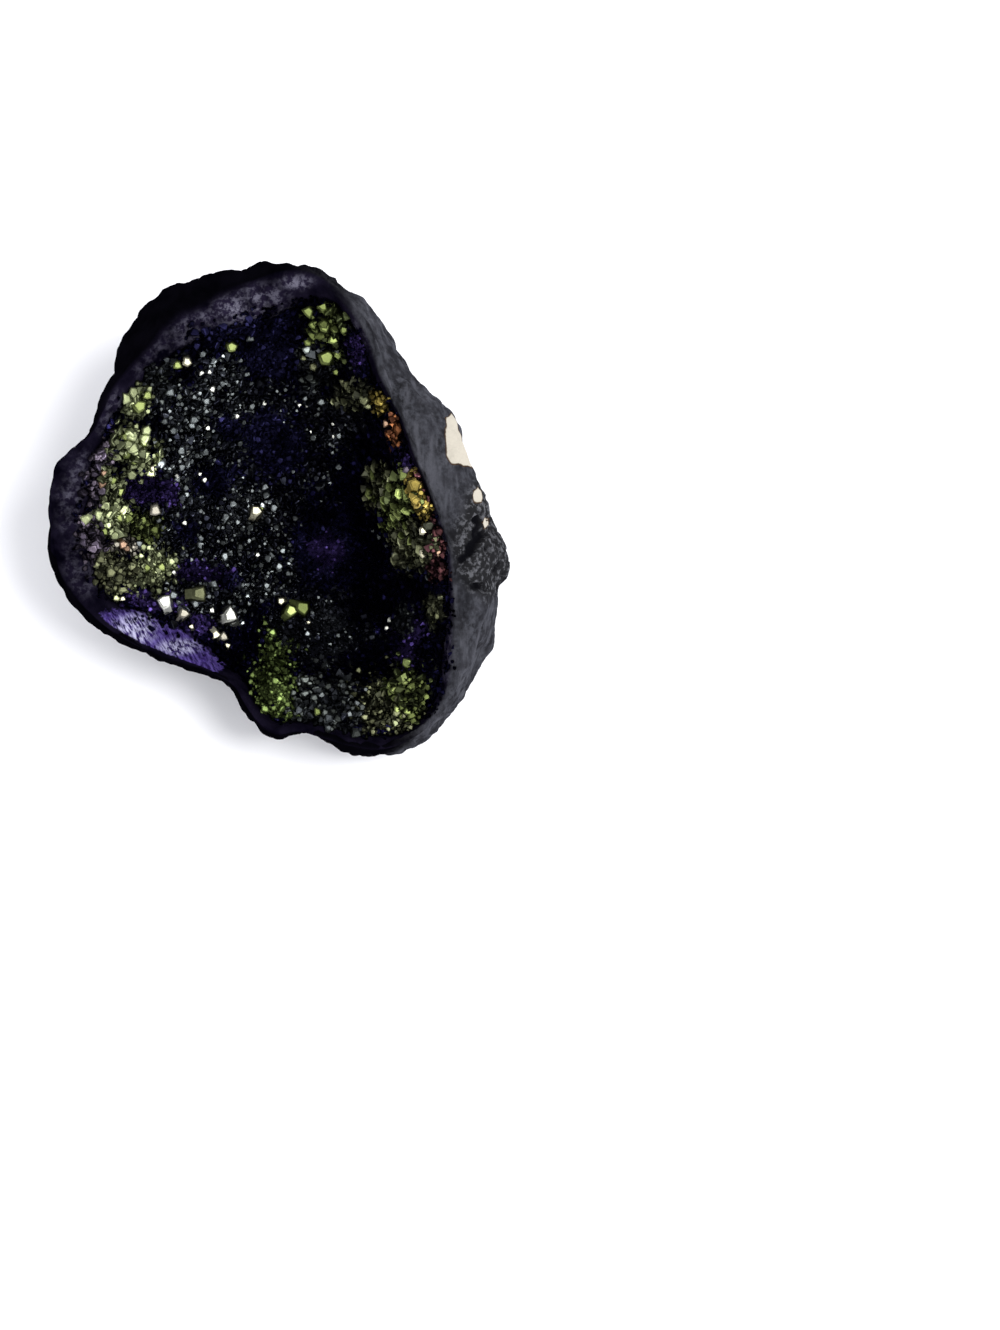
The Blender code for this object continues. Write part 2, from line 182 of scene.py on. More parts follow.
# Values at angles round the hub: heights w, the drop from crest to mouth, the power of the cavity's wall, and
# the share of SEAT_RADIUS that the seat has
WIDEST_HEIGHT = ((0, 19.0), (60, 20.0), (120, 21.0), (180, 21.5), (225, 21.0), (270, 20.5), (315, 19.0))
CREST_HEIGHT = (
    (0, 33.5), (30, 34.0), (65, 32.0), (100, 31.0), (130, 33.0), (155, 32.0), (180, 29.5), (205, 27.5),
    (225, 26.0), (248, 27.0), (275, 29.5), (310, 31.5), (335, 32.5),
)
MOUTH_DROP = (
    (0, 2.0), (60, 2.5), (110, 2.5), (150, 2.5), (185, 1.5), (212, 4.5), (235, 4.5), (260, 2.0), (310, 2.0),
)
WALL_STEEPNESS = ((0, 3.4), (60, 3.0), (100, 2.6), (140, 1.9), (180, 1.5), (225, 1.7), (270, 2.2), (320, 2.8))
SEAT_SHAPE = ((0, 1.10), (70, 0.90), (130, 1.08), (200, 0.92), (260, 1.05), (320, 0.95))
# Domes and hollows of the cavity's wall: u, v, radius, rise
DOMES = (
    (-2.5, 11.5, 7.0, 4.0),
    (7.5, -6.5, 4.5, 2.5),
    (-20.5, 4.0, 5.5, 2.5),
    (-13.0, -10.5, 5.0, 3.0),
    (-24.0, -10.5, 5.0, 2.0),
    (-6.5, -6.0, 5.0, 2.0),
    (-10.5, 20.0, 6.5, 2.5),
    (-25.0, 11.0, 4.0, 2.0),
    (6.8, 30.5, 4.5, 4.0),
    (8.0, 23.5, 4.5, 3.0),
    (13.0, 19.0, 4.2, 6.5),
    (12.8, 27.0, 3.5, 3.5),
    (18.0, 13.0, 3.5, 5.0),
    (20.3, 2.0, 6.5, 8.5),
    (24.0, -6.0, 4.5, 6.5),
    (22.0, -20.0, 5.0, 5.0),
    (20.0, -31.0, 5.0, 4.5),
    (-1.5, -29.5, 5.0, 4.0),
    (8.0, -33.0, 4.5, 3.5),
    (10.0, 6.0, 6.0, -3.0),
    (13.0, -14.0, 6.5, -3.0),
    (-3.0, -18.5, 4.0, -2.5),
)
# Wavelengths and heights of the lumps of the back and of the crest, and how far the lumps may dip in
LUMPS = ((16.0, 1.8), (8.0, 1.6), (4.5, 0.7))
DEEPEST_PIT = -0.8
RIM_LUMPS = ((6.0, 0.6), (3.0, 0.35))
# Knobs and dents of the back: u, v, w, radius, height
KNOBS = (
    (37.0, -8.0, 20.0, 4.5, 1.2),
    (33.0, 7.0, 24.0, 3.5, -0.9),
    (35.0, -16.0, 14.0, 4.0, -1.2),
    (-22.0, 33.0, 24.0, 4.0, 0.9),
    (-36.0, 8.0, 20.0, 4.0, -1.0),
    (22.0, 22.0, 20.0, 4.0, -0.9),
    (30.0, -31.0, 22.0, 4.0, 0.9),
    (-12.0, -24.0, 16.0, 4.5, -1.0),
    (10.0, 34.0, 10.0, 5.0, 1.2),
)
BELL = 0.55  # spread of the bell shape of a dome or a knob, as a share of its radius squared
LINING_DEPTH = 1.2  # from the crystals' roots down to the lining
# Rows of the solid from crest to widest ring and from there to the seat, which this finer grid splits up
SOLID_SHOULDER_ROWS = 5
SOLID_BACK_ROWS = 9
# Small roughness, finer than the solid shows: wavelength and height
GRIT = ((2.2, 0.25), (1.1, 0.16))
BROKEN_GRIT = ((2.6, 0.55), (1.4, 0.40), (0.8, 0.20))
GROOVES = ((1.3, 0.30), (0.7, 0.14))
GROOVE_LENGTH = 5.0
# The pitted lump on the right: u, v, half width, half height, and how deep its pits are
PITTED = (33.5, -4.0, 4.5, 9.5)
PIT_DEPTH = 1.1
PITS = ((1.9, 0.7), (1.1, 0.5))
# Pale chips where the weathered skin has flaked off: u, v, half width, half height. The large one reaches
# from its left edge u to the outline, between two heights v, and its corners are rounded.
CHIPS = ((32.6, 2.8, 0.7, 1.1), (34.0, -1.6, 0.4, 0.8))
LARGE_CHIP = (27.3, 7.4, 17.2)
CHIP_CORNER = (1.6, 2.4)
# Where a painted sheen makes the violet fracture palest: u, v, half width, half height
SHEEN_SPOTS = ((-24.2, -19.2, 3.4, 2.6), (-17.0, -22.0, 3.2, 1.3))
# Lavender bloom on the broken edge: u, v, half width, half height, strength
BLOOM = (
    (-5.5, 34.5, 6.5, 4.0, 1.0),
    (2.5, 38.2, 3.0, 1.6, 0.8),
    (-1.0, 33.5, 3.5, 2.5, 0.7),
    (-14.5, 30.5, 6.0, 3.5, 0.55),
    (-20.5, 25.5, 4.0, 4.0, 0.45),
    (-28.0, 16.5, 3.0, 4.0, 0.40),
    (-33.5, 7.5, 3.0, 4.0, 0.35),
    (-35.0, 2.0, 2.5, 5.0, 0.50),
    (-33.0, -9.0, 3.5, 5.0, 0.35),
    (27.5, -4.0, 2.0, 6.0, 0.35),
    (28.5, -22.0, 1.5, 8.0, 0.30),
    (14.0, 31.0, 2.0, 5.0, 0.35),
)
# Stretches of the rim, in degrees round the hub: the violet fracture and the side with painted shade from
# start to end, and the middle and half width of the worn edge on the left and of the narrow one on the right
VIOLET_STRETCH = (196, 238)
SHADED_STRETCH = (62, 308)
WORN_EDGE = (171, 17)
NARROW_EDGE = (8, 82)
# Colours of the stone
SLATE_DARK = (0.009, 0.009, 0.010, 1)
SLATE_LIGHT = (0.027, 0.027, 0.032, 1)
SLATE_DUSTY = (0.038, 0.039, 0.046, 1)
PALE_STREAK = (0.066, 0.067, 0.078, 1)
DARK_STREAK = (0.010, 0.010, 0.012, 1)
SCORIA_DARK = (0.012, 0.012, 0.013, 1)
SCORIA_LIGHT = (0.078, 0.079, 0.086, 1)
# Painted shade in the pits
PIT_SHADE = (0.003, 0.003, 0.004, 1)
# Painted shade on the side away from the lamp: near black, and lighter where it thins out
PAINTED_SHADE_DARK = (0.0004, 0.0004, 0.0008, 1)
PAINTED_SHADE_LIGHT = (0.0014, 0.0012, 0.0022, 1)
EDGE_OF_SHADE_DARK = (0.0040, 0.0040, 0.0050, 1)
EDGE_OF_SHADE_LIGHT = (0.016, 0.016, 0.019, 1)
FRACTURE_DARK = (0.0008, 0.0006, 0.0022, 1)
FRACTURE_LIGHT = (0.0058, 0.0046, 0.0105, 1)
BLOOM_STAIN = (0.013, 0.010, 0.023, 1)
BLOOM_FLECK = (0.12, 0.115, 0.15, 1)
VIOLET_DARK = (0.003, 0.002, 0.010, 1)
VIOLET_DEEP = (0.026, 0.014, 0.085, 1)
VIOLET_STREAK = (0.075, 0.052, 0.20, 1)
# Pale lavender of the painted sheen on the fracture
VIOLET_SHEEN = (0.42, 0.41, 0.56, 1)
# Round the chips: a brown stain, darkened further as painted shade of the flaked edge
CHIP_RIM_STAIN_AND_SHADE = (0.035, 0.020, 0.011, 1)
CHIP_PALE = (0.40, 0.37, 0.31, 1)


def round_curve(stations, degrees):
    """The value at each angle of a smooth closed curve through (angle, value) stations.

    Between two stations it is a cubic whose slope at a station is that of the chord across its neighbours.
    """
    stations = np.array(stations, float)
    stations = stations[np.argsort(stations[:, 0])]
    turns = np.concatenate([stations - (360, 0), stations, stations + (360, 0)])
    at, value = turns.T
    slope = np.gradient(value, at)
    left = np.searchsorted(at, degrees, side="right") - 1
    span = at[left + 1] - at[left]
    t = (degrees - at[left]) / span
    rise = value[left + 1] - value[left]
    first = t * (1 - t) ** 2 * span * slope[left]
    last = -t * t * (1 - t) * span * slope[left + 1]
    return value[left] + rise * t * t * (3 - 2 * t) + first + last


def bearings(u, v):
    """Angle in degrees, 0 to 360, and distance of points from the hub."""
    du, dv = np.asarray(u, float) - HUB[0], np.asarray(v, float) - HUB[1]
    return np.degrees(np.arctan2(dv, du)) % 360.0, np.hypot(du, dv)


def ring_radius(landmarks, degrees):
    """Distance from the hub of the closed curve through (u, v) landmarks."""
    angle, distance = bearings(*np.array(landmarks).T)
    return round_curve(np.column_stack([angle, distance]), degrees)


def around_hub(radius, degrees, height):
    """Face-on points at polar coordinates about the hub."""
    turn = np.radians(degrees)
    return np.column_stack([HUB[0] + radius * np.cos(turn), HUB[1] + radius * np.sin(turn), height])


def lattice_noise(points, wavelength, seed):
    """Smooth noise from -1 to 1: random values on a cubic lattice, blended between the eight nearest."""
    values = np.random.default_rng(seed).uniform(-1, 1, (32, 32, 32))
    place = np.asarray(points, float) / wavelength
    cell = np.floor(place).astype(int)
    blend = place - cell
    blend = blend * blend * (3 - 2 * blend)
    total = np.zeros(len(place))
    for corner in np.ndindex(2, 2, 2):
        weight = np.prod(np.where(corner, blend, 1 - blend), axis=1)
        i, j, k = ((cell + corner) % 32).T
        total += weight * values[i, j, k]
    return total


def lumpy(points, sizes, seed):
    """Sum of noises, one for each (wavelength, height)."""
    return sum(height * lattice_noise(points, wave, seed + n) for n, (wave, height) in enumerate(sizes))


def lumpy_grid(grid, sizes, seed):
    """The same sum of noises at each point of a grid."""
    return lumpy(grid.reshape(-1, 3), sizes, seed).reshape(grid.shape[:2])


def smooth_step(x):
    """0 below 0, 1 above 1, and a smooth rise between."""
    x = np.clip(x, 0, 1)
    return x * x * (3 - 2 * x)


def near_angle(degrees, middle, half_width, fade):
    """1 at angles near the middle, falling smoothly to 0 over the last few degrees of the half width."""
    return smooth_step((half_width - np.abs((degrees + (180 - middle)) % 360 - 180)) / fade)


def face_on(points):
    """The face-on place of resting-frame points: the reverse of laid_back."""
    x, y, z = np.moveaxis(points, -1, 0)
    v = y * math.cos(LEAN) + z * math.sin(LEAN)
    w = z * math.cos(LEAN) - y * math.sin(LEAN)
    return x + SEAT[0], v + SEAT[1], w + SEAT[2]


def mouth_height(degrees):
    """Height w of the mouth: the crest's height less the drop across the broken edge."""
    return round_curve(CREST_HEIGHT, degrees) - round_curve(MOUTH_DROP, degrees)


def cavity_height(u, v):
    """Height w of the crystals' roots: a bowl whose wall rises as a power of the distance from the hub.

    The power changes round the bowl, so that the left wall is a gentle slope and the right one is steep.
    Domes and hollows are added as bell shapes that fade out at the edge of the crust.
    """
    degrees, distance = bearings(u, v)
    share = np.clip(distance / (ring_radius(MOUTH, degrees) - LIP), 0, 1)
    height = FLOOR + (mouth_height(degrees) - FLOOR) * share ** round_curve(WALL_STEEPNESS, degrees)
    inside = smooth_step((1 - share) / 0.07)
    for u0, v0, radius, rise in DOMES:
        height += inside * rise * np.exp(-((u - u0) ** 2 + (v - v0) ** 2) / (BELL * radius**2))
    flat = np.column_stack([u, v, np.zeros_like(u)])
    return height + inside * lumpy(flat, ((8.0, 0.7), (4.0, 0.35)), seed=40)


def cavity_rows(shares, degrees, below):
    """Rows of the cavity's wall in the resting frame, lowered by below.

    Each row goes round the hub at a share of the way from it to the crust's edge.
    """
    rows = []
    for share in shares:
        row = around_hub(share * (ring_radius(MOUTH, degrees) - LIP), degrees, 0 * degrees)
        row[:, 2] = cavity_height(row[:, 0], row[:, 1]) - below
        rows.append(laid_back(row))
    return rows


def surface_normals(rows):
    """Unit normals of a grid that closes on itself along its rows: the cross product of its two tangents."""
    down = np.gradient(rows, axis=0)
    along = (np.roll(rows, -1, axis=1) - np.roll(rows, 1, axis=1)) / 2
    normal = np.cross(down, along)
    return normal / (np.linalg.norm(normal, axis=2, keepdims=True) + 1e-9)


def ring_faces(row_count, column_count):
    """Quads of a grid that closes on itself along its rows, with one more point at each end as a pole.

    The faces point outwards where the rows run anticlockwise, out over the top and back in below.
    """
    numbers = np.meshgrid(np.arange(row_count - 1), np.arange(column_count), indexing="ij")
    row, column = (number.ravel() for number in numbers)
    after = (column + 1) % column_count
    corners = (row, column), (row + 1, column), (row + 1, after), (row, after)
    quads = np.column_stack([r * column_count + c for r, c in corners])
    column = np.arange(column_count)
    after = (column + 1) % column_count
    first = row_count * column_count
    last = (row_count - 1) * column_count
    start = np.column_stack([np.full(column_count, first), column, after])
    end = np.column_stack([np.full(column_count, first + 1), last + after, last + column])
    return quads.tolist() + start.tolist() + end.tolist()


def set_values(piece, name, values):
    """Stores one number or one colour for each point of the piece."""
    kind = "FLOAT" if values.ndim == 1 else "FLOAT_COLOR"
    attribute = piece.data.attributes.new(name, kind, "POINT")
    attribute.data.foreach_set("value" if values.ndim == 1 else "color", values.astype(np.float32).ravel())


degrees = np.arange(AROUND) * 360.0 / AROUND
lining = cavity_rows(np.linspace(0.04, 1.0, LINING_ROWS), degrees, below=LINING_DEPTH)
mouth = around_hub(ring_radius(MOUTH, degrees), degrees, mouth_height(degrees))
crest = around_hub(ring_radius(CREST, degrees), degrees, round_curve(CREST_HEIGHT, degrees))
crest[:, 2] += lumpy(crest, RIM_LUMPS, seed=20)
widest = laid_back(around_hub(ring_radius(OUTLINE, degrees), degrees, round_curve(WIDEST_HEIGHT, degrees)))
seat_radius = SEAT_RADIUS * round_curve(SEAT_SHAPE, degrees)
turn = np.radians(degrees)
seat = np.column_stack([seat_radius * np.cos(turn), seat_radius * np.sin(turn), 0 * turn])

rows = list(lining)
for n in range(BAND_ROWS):
    t = n / BAND_ROWS
    row = mouth + (crest - mouth) * t
    row[:, 2] += math.sin(math.pi * t) * (0.5 + lumpy(row, RIM_LUMPS, seed=24))
    row[:, 2] += smooth_step(np.array(4.0 * t)) * lumpy(row, BROKEN_GRIT, seed=28)
    rows.append(laid_back(row))
crest = laid_back(crest)
for n in range(SHOULDER_ROWS):
    t = math.pi / 2 * n / SHOULDER_ROWS
    row = widest + (crest - widest) * (1 - math.sin(t))
    row[:, 2] = widest[:, 2] + (crest[:, 2] - widest[:, 2]) * math.cos(t)
    rows.append(row)
for n in range(BACK_ROWS + 1):
    t = math.pi / 2 * n / BACK_ROWS
    row = seat + (widest - seat) * math.cos(t)
    row[:, 2] = widest[:, 2] * (1 - math.sin(t))
    rows.append(row)
rows = np.array(rows)

first_band = LINING_ROWS
first_shoulder = first_band + BAND_ROWS
first_back = first_shoulder + SHOULDER_ROWS
row_number = np.arange(len(rows))
below_crest = smooth_step((row_number - first_shoulder) / 5.0)[:, None]
on_back = row_number >= first_back
rows_a_step = np.where(on_back, BACK_ROWS / SOLID_BACK_ROWS, SHOULDER_ROWS / SOLID_SHOULDER_ROWS)
from_widest = ((row_number - first_back) / rows_a_step)[:, None]

flat_points = rows.reshape(-1, 3)
push = np.maximum(lumpy(flat_points, LUMPS, seed=1), DEEPEST_PIT)
for u, v, w, radius, height in KNOBS:
    away = flat_points - laid_back([(u, v, w)])
    push += height * np.exp(-(away**2).sum(axis=1) / (BELL * radius**2))
# The lumps are low at the widest ring, which keeps the outline
push = push.reshape(rows.shape[:2]) * (1 - 0.65 * np.exp(-((from_widest / 1.2) ** 2)))
push += lumpy_grid(rows, GRIT, seed=8)

face_u, face_v, face_w = face_on(rows)
grooved = np.column_stack([face_u.ravel(), face_v.ravel() / GROOVE_LENGTH, face_w.ravel()])
push += lumpy(grooved, GROOVES, seed=12).reshape(rows.shape[:2])
u0, v0, half_u, half_v = PITTED
pitted = smooth_step((1.25 - np.hypot((face_u - u0) / half_u, (face_v - v0) / half_v)) * 3)
pitted *= smooth_step((face_w - 17 + lumpy_grid(rows, ((4.0, 2.5),), seed=34)) / 3)
pit = pitted * smooth_step((lumpy_grid(rows, PITS, seed=16) - 0.1) / 0.35)
push -= PIT_DEPTH * pit
# Nothing is pushed at the ground, on the broken edge or inside the crest
push *= smooth_step(rows[:, :, 2] / 7.0) * below_crest
rows = rows + surface_normals(rows) * push[:, :, None]
face_u, face_v, face_w = face_on(rows)

poles = np.array([laid_back([(HUB[0], HUB[1], FLOOR - LINING_DEPTH)])[0], (0.0, 0.0, 0.0)])
points = np.concatenate([rows.reshape(-1, 3), poles])
faces = ring_faces(len(rows), AROUND)

# Masks over the rind, from 0 to 1. First the broken edge, which is wide on the left, where the crest is worn
# away, and narrow on the right, and on it the violet fracture and its palest part.
on_band = (row_number >= first_band - 1) & (row_number <= first_shoulder)
angle = np.broadcast_to(degrees, rows.shape[:2])
worn_left = near_angle(angle, *WORN_EDGE, 8)
broken = smooth_step((first_shoulder + 3 + 17 * worn_left - row_number[:, None]) / 5)
across = np.broadcast_to(np.clip((row_number - first_band) / BAND_ROWS, 0, 1)[:, None], rows.shape[:2])
on_right = near_angle(angle, *NARROW_EDGE, 15)
broken = broken * (1 - on_right * smooth_step((across - 0.3) / 0.4))
start, end = VIOLET_STRETCH
violet = smooth_step((angle - start) / 7) * smooth_step((end - angle) / 9) * on_band[:, None]
violet = violet * smooth_step((across + 0.15) / 0.3) * smooth_step((0.95 - across) / 0.2)
# Painted sheen where the violet fracture is palest
painted_sheen = np.zeros(rows.shape[:2])
for u, v, half_u, half_v in SHEEN_SPOTS:
    painted_sheen = np.maximum(painted_sheen, smooth_step(1.4 - np.hypot((face_u - u) / half_u, (face_v - v) / half_v)))
# Painted shade, near black, on the left side and at the top, which face away from the lamp. It thins out
# towards the ground, and its border wanders.
drift = lumpy_grid(rows, ((14.0, 26.0), (5.0, 12.0)), seed=32)
shade_by_height = smooth_step((face_w + 0.16 * drift - 11) / 9)
drift *= smooth_step((26 - face_w) / 8)
start, end = SHADED_STRETCH
shaded_side = smooth_step((angle + drift - start) / 38) * smooth_step((end + drift - angle) / 20)
shaded_side *= 0.6 + 0.4 * shade_by_height
# The pale chips, high up on the side, with ragged edges
left, bottom, top = LARGE_CHIP
corner_u, corner_v = CHIP_CORNER
ragged = lumpy_grid(rows, ((2.2, 0.16), (1.0, 0.12)), seed=34)
outside_v = np.maximum(np.abs(face_v - (bottom + top) / 2) - (top - bottom) / 2 + corner_v, 0) / corner_v
outside = np.hypot(np.maximum(left + corner_u - face_u, 0) / corner_u, outside_v)
chip = smooth_step((1.2 - outside + ragged) / 0.6)
for u, v, half_u, half_v in CHIPS:
    outside = np.hypot((face_u - u) / half_u, (face_v - v) / half_v)
    chip = np.maximum(chip, smooth_step(1.5 - outside + 2.5 * ragged))
chip *= smooth_step((face_w - 21.5) / 1.5) * (row_number > first_shoulder)[:, None]
bloom = np.zeros(rows.shape[:2])
for u, v, half_u, half_v, strength in BLOOM:
    inside = 1.4 - np.hypot((face_u - u) / half_u, (face_v - v) / half_v)
    bloom = np.maximum(bloom, strength * smooth_step(inside))
bloom = bloom * broken * smooth_step((1.15 - across) / 0.6)
# Places for the streaks, drawn out along the fibres of the fracture, and along v elsewhere
slanted = 0.7 * (0.5 * face_u - 0.87 * face_v), 2.4 * (0.87 * face_u + 0.5 * face_v), 0.9 * face_w
upright = 0.55 * face_u, 0.10 * face_v, 0.55 * face_w
fibre = np.where(violet > 0.02, slanted, upright)


def stone_grain_group():
    """Two noises on object coordinates, a coarse and a fine one, and the fine one as a surface relief too."""
    group = bpy.data.node_groups.new("stone_grain", "ShaderNodeTree")
    for name, kind in (("Scale", "NodeSocketFloat"), ("Relief", "NodeSocketFloat")):
        group.interface.new_socket(name, in_out="INPUT", socket_type=kind)
    results = ("Blotch", "NodeSocketFloat"), ("Grain", "NodeSocketFloat"), ("Normal", "NodeSocketVector")
    for name, kind in results:
        group.interface.new_socket(name, in_out="OUTPUT", socket_type=kind)
    given = group.nodes.new("NodeGroupInput")
    place = add_node(group, "ShaderNodeTexCoord").outputs["Object"]
    fine = add_node(group, "ShaderNodeMath", [(0, given.outputs["Scale"]), (1, 3.6)], operation="MULTIPLY")
    noise = [("Vector", place), ("Scale", given.outputs["Scale"]), ("Detail", 3.0), ("Roughness", 0.55)]
    blotch = add_node(group, "ShaderNodeTexNoise", noise)
    noise = [("Vector", place), ("Scale", fine.outputs[0]), ("Detail", 5.0), ("Roughness", 0.65)]
    grain = add_node(group, "ShaderNodeTexNoise", noise)
    relief = [("Strength", given.outputs["Relief"]), ("Distance", 0.0004), ("Height", grain.outputs[0])]
    bump = add_node(group, "ShaderNodeBump", relief)
    result = group.nodes.new("NodeGroupOutput")
    group.links.new(blotch.outputs[0], result.inputs["Blotch"])
    group.links.new(grain.outputs[0], result.inputs["Grain"])
    group.links.new(bump.outputs[0], result.inputs["Normal"])
    return group


def mixed(tree, factor, first, second):
    """The first colour where the factor is 0, the second where it is 1."""
    return add_node(
        tree, "ShaderNodeMix", [(0, factor), (6, first), (7, second)], data_type="RGBA"
    ).outputs[2]


def ranged(tree, value, low, high, bottom=0.0, top=1.0):
    """The value from low to high, spread over bottom to top and held there."""
    inputs = [("Value", value), ("From Min", low), ("From Max", high), ("To Min", bottom), ("To Max", top)]
    return add_node(tree, "ShaderNodeMapRange", inputs).outputs[0]


def attribute(tree, name):
    """The node that reads what set_values stored under the name."""
    return add_node(tree, "ShaderNodeAttribute", attribute_name=name)


def lifted_mask(tree, mask, grain, amount):
    """A mask whose edge is ragged: the grain is added to it, and the sum is cut sharply at a half."""
    ragged = add_node(tree, "ShaderNodeMath", [(0, grain), (1, amount), (2, mask)], operation="MULTIPLY_ADD")
    return ranged(tree, ragged.outputs[0], 0.5 * amount + 0.4, 0.5 * amount + 0.6)


stone_grain = stone_grain_group()
rind_stone, tree, shader = new_material("weathered_rind")
grain = add_node(tree, "ShaderNodeGroup", [], node_tree=stone_grain)
grain.inputs["Scale"].default_value = 260.0
grain.inputs["Relief"].default_value = 1.0
blotch = ranged(tree, grain.outputs["Blotch"], 0.32, 0.68)
speck = grain.outputs["Grain"]
dull = ranged(tree, speck, 0.40, 0.62)
along_fibres = attribute(tree, "streak").outputs["Vector"]
noise = [("Vector", along_fibres), ("Scale", 1.0), ("Detail", 4.0), ("Roughness", 0.6)]
streaks = add_node(tree, "ShaderNodeTexNoise", noise).outputs[0]
slate = mixed(tree, blotch, SLATE_DARK, SLATE_LIGHT)
slate = mixed(tree, dull, slate, SLATE_DUSTY)
slate = mixed(tree, ranged(tree, streaks, 0.50, 0.68, 0.0, 0.8), slate, PALE_STREAK)
slate = mixed(tree, ranged(tree, streaks, 0.48, 0.34, 0.0, 0.8), slate, DARK_STREAK)
pit_shade_mask = attribute(tree, "pit").outputs["Fac"]
scoria = mixed(tree, ranged(tree, speck, 0.50, 0.60), SCORIA_DARK, SCORIA_LIGHT)
slate = mixed(tree, attribute(tree, "pitted").outputs["Fac"], slate, scoria)
# Painted shade: the pits are coloured near black
slate = mixed(tree, pit_shade_mask, slate, PIT_SHADE)
# Painted shade on the side away from the lamp: near black where the mask is full, lighter grey at its
# thinning edge
shade_colour = mixed(tree, blotch, PAINTED_SHADE_DARK, PAINTED_SHADE_LIGHT)
shade_side_value = attribute(tree, "shaded_side").outputs["Fac"]
shade_edge_colour = mixed(tree, dull, EDGE_OF_SHADE_DARK, EDGE_OF_SHADE_LIGHT)
shade_colour = mixed(tree, ranged(tree, shade_side_value, 0.98, 0.62), shade_colour, shade_edge_colour)
skin = mixed(tree, lifted_mask(tree, shade_side_value, speck, 0.5), slate, shade_colour)
fracture = mixed(tree, blotch, FRACTURE_DARK, FRACTURE_LIGHT)
bloom_mask = attribute(tree, "bloom").outputs["Fac"]
patchy = add_node(tree, "ShaderNodeMath", [(0, blotch), (1, bloom_mask)], operation="MULTIPLY")
bright = ranged(tree, speck, 0.46, 0.60)
fleck = add_node(tree, "ShaderNodeMath", [(0, bright), (1, patchy.outputs[0])], operation="MULTIPLY")
stained = mixed(tree, patchy.outputs[0], fracture, BLOOM_STAIN)
stained = mixed(tree, fleck.outputs[0], stained, BLOOM_FLECK)
colour = mixed(tree, attribute(tree, "broken").outputs["Fac"], skin, stained)
streak = ranged(tree, streaks, 0.42, 0.64)
deep = mixed(tree, ranged(tree, speck, 0.42, 0.60), VIOLET_DARK, VIOLET_DEEP)
violet_stone = mixed(tree, streak, deep, VIOLET_STREAK)
# Painted sheen: pale lavender along the fracture's streaks where it is palest
sheen_mask = attribute(tree, "painted_sheen").outputs["Fac"]
sheen_streaks = add_node(tree, "ShaderNodeMath", [(0, streak), (1, sheen_mask)], operation="MULTIPLY")
violet_stone = mixed(tree, sheen_streaks.outputs[0], violet_stone, VIOLET_SHEEN)
violet_mask = lifted_mask(tree, attribute(tree, "violet").outputs["Fac"], speck, 1.1)
colour = mixed(tree, violet_mask, colour, violet_stone)
chip_value = attribute(tree, "chip").outputs["Fac"]
# A dark brown rim round the chips: a brown stain together with painted shade of the flaked edge
chip_rim_stain_and_shade = lifted_mask(tree, ranged(tree, chip_value, 0.0, 0.5), speck, 0.4)
colour = mixed(tree, chip_rim_stain_and_shade, colour, CHIP_RIM_STAIN_AND_SHADE)
colour = mixed(tree, lifted_mask(tree, chip_value, speck, 0.3), colour, CHIP_PALE)
tree.links.new(colour, shader.inputs["Base Color"])
shader.inputs["Specular IOR Level"].default_value = 0.0
tree.links.new(ranged(tree, blotch, 0.0, 1.0, 0.9, 0.65), shader.inputs["Roughness"])
tree.links.new(grain.outputs["Normal"], shader.inputs["Normal"])

rind = new_piece("stone_rind", points, faces, rind_stone, smooth=True)
# Each mask with its values at the two poles, in the middle of the lining and of the seat
for name, mask, at_poles in (
    ("broken", broken, (1, 0)),
    ("violet", violet, (0, 0)),
    ("shaded_side", shaded_side, (0, 1)),
    ("painted_sheen", painted_sheen, (0, 0)),
    ("bloom", bloom, (0, 0)),
    ("pitted", pitted, (0, 0)),
    ("pit", pit, (0, 0)),
    ("chip", chip, (0, 0)),
):
    set_values(rind, name, np.concatenate([mask.ravel(), at_poles]))
along = np.column_stack([fibre.reshape(3, -1).T, np.zeros(fibre[0].size)])
set_values(rind, "streak", np.concatenate([along, np.zeros((2, 4))]))
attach(rind, "root")
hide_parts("rind")

# The crystal crust.
# A skin of small quartz points that grew over the whole wall of the hollow. They are dark with a thin metal
# film, which shines green, gold or violet where it is thickest, and each has flat six-sided faces.

GROUND_COLUMNS = 280
GROUND_ROWS = 56
FACE_SLOPE = math.radians(50.0)
CORNERS = 18  # points of one crystal
GROUND_THICKNESS = 0.9
CLUMPING = 1.0  # how much the film's strength varies from clump to clump, and how far apart these are
CLUMP_SIZE = 2.6
BARE_SIZE = 0.8  # size of the crystals outside the patches, and the share of them that faces the light
BARE_SHARE = 0.02
TOWARDS_LAMP = np.array(
    [
        math.cos(KEY_ELEVATION) * math.cos(KEY_AZIMUTH),
        math.cos(KEY_ELEVATION) * math.sin(KEY_AZIMUTH),
        math.sin(KEY_ELEVATION),
    ]
)
FACE_OUT = np.array([0.0, -math.sin(LEAN), math.cos(LEAN)])
HALFWAY = (TOWARDS_LAMP + FACE_OUT) / np.linalg.norm(TOWARDS_LAMP + FACE_OUT)

